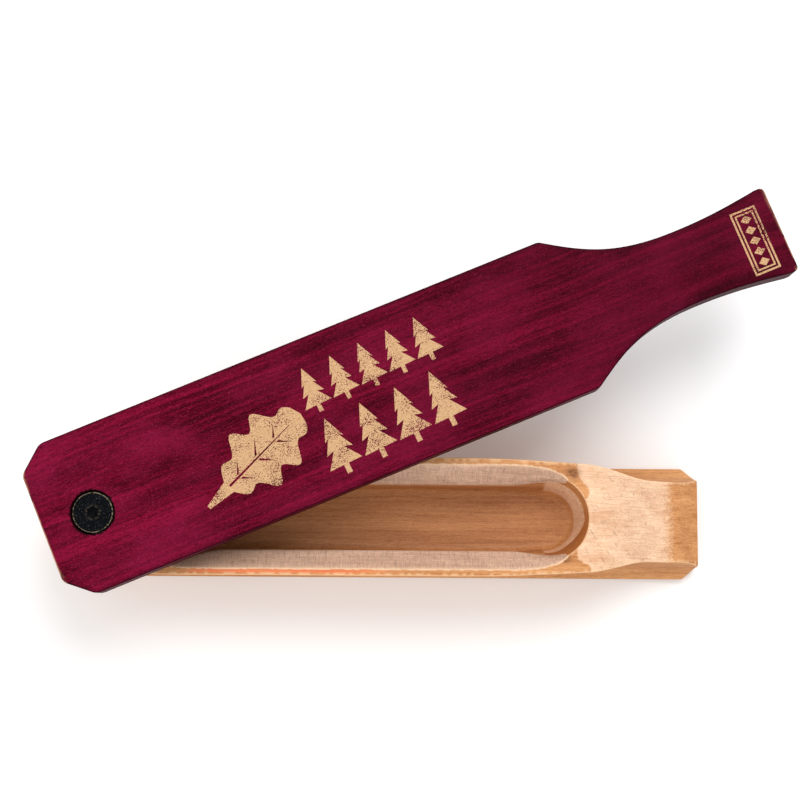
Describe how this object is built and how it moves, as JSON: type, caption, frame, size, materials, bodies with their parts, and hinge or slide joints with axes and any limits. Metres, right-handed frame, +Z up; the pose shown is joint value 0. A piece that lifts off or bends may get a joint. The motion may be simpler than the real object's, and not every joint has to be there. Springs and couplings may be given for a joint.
{
  "type": "box turkey call",
  "caption": "Wooden sound box with a routed trough and two thin arched lips, under a paddle lid that swings on a sprung pivot screw.",
  "frame": {"origin": "centre of the sound box's bottom face", "axes": "+X along the sound box from the pivot block to the handle end, +Y across it towards the side the lid is swung to, +Z up through the lips and the lid"},
  "size_m": [0.2768, 0.1475, 0.058],
  "materials": {
    "pale_wood": "satin pale close-grained wood with small dark flecks",
    "dyed_wood": "satin wood dyed red-purple, long straight grain",
    "black_screw": "black oxide, satin, worn bright on the edge",
    "washer_steel": "zinc plated",
    "spring_steel": "oiled spring wire",
    "insert_brass": "turned brass",
    "black_nylon": "matt",
    "white_nylon": "matt"
  },
  "bodies": {
    "box": {"sound_box": "pale_wood", "threaded_insert": "insert_brass", "thrust_washer": "black_nylon", "tension_spring": "spring_steel"},
    "head_washer": {"head_washer": "washer_steel"},
    "screw": {"pivot_screw": "black_screw"},
    "collar": {"seat_washer": "washer_steel", "pivot_sleeve": "white_nylon"},
    "lid": {"lid_paddle": "dyed_wood"}
  },
  "joints": [
    {"name": "screw_travel", "type": "slide", "parent": "box", "child": "head_washer", "axis": [0, 0, 1], "range_m": [-0.001, 0.001], "deforming": ["tension_spring"]},
    {"name": "screw_turn", "type": "hinge", "parent": "head_washer", "child": "screw", "pos_m": [-0.1034, 0, 0.0574], "axis": [0, 0, 1], "range_deg": [-360, 360]},
    {"name": "lid_swing", "type": "hinge", "parent": "box", "child": "collar", "pos_m": [-0.1034, 0, 0.0456], "axis": [0, 0, 1], "continuous": true},
    {"name": "lid_tilt", "type": "hinge", "parent": "collar", "child": "lid", "pos_m": [-0.1034, 0, 0.0454], "axis": [0.3859, -0.9225, 0], "range_deg": [0, 2]}
  ],
  "couplings": [
    {"joint": "screw_travel", "follows": "screw_turn", "m_per_rad": 0.00015915}
  ]
}
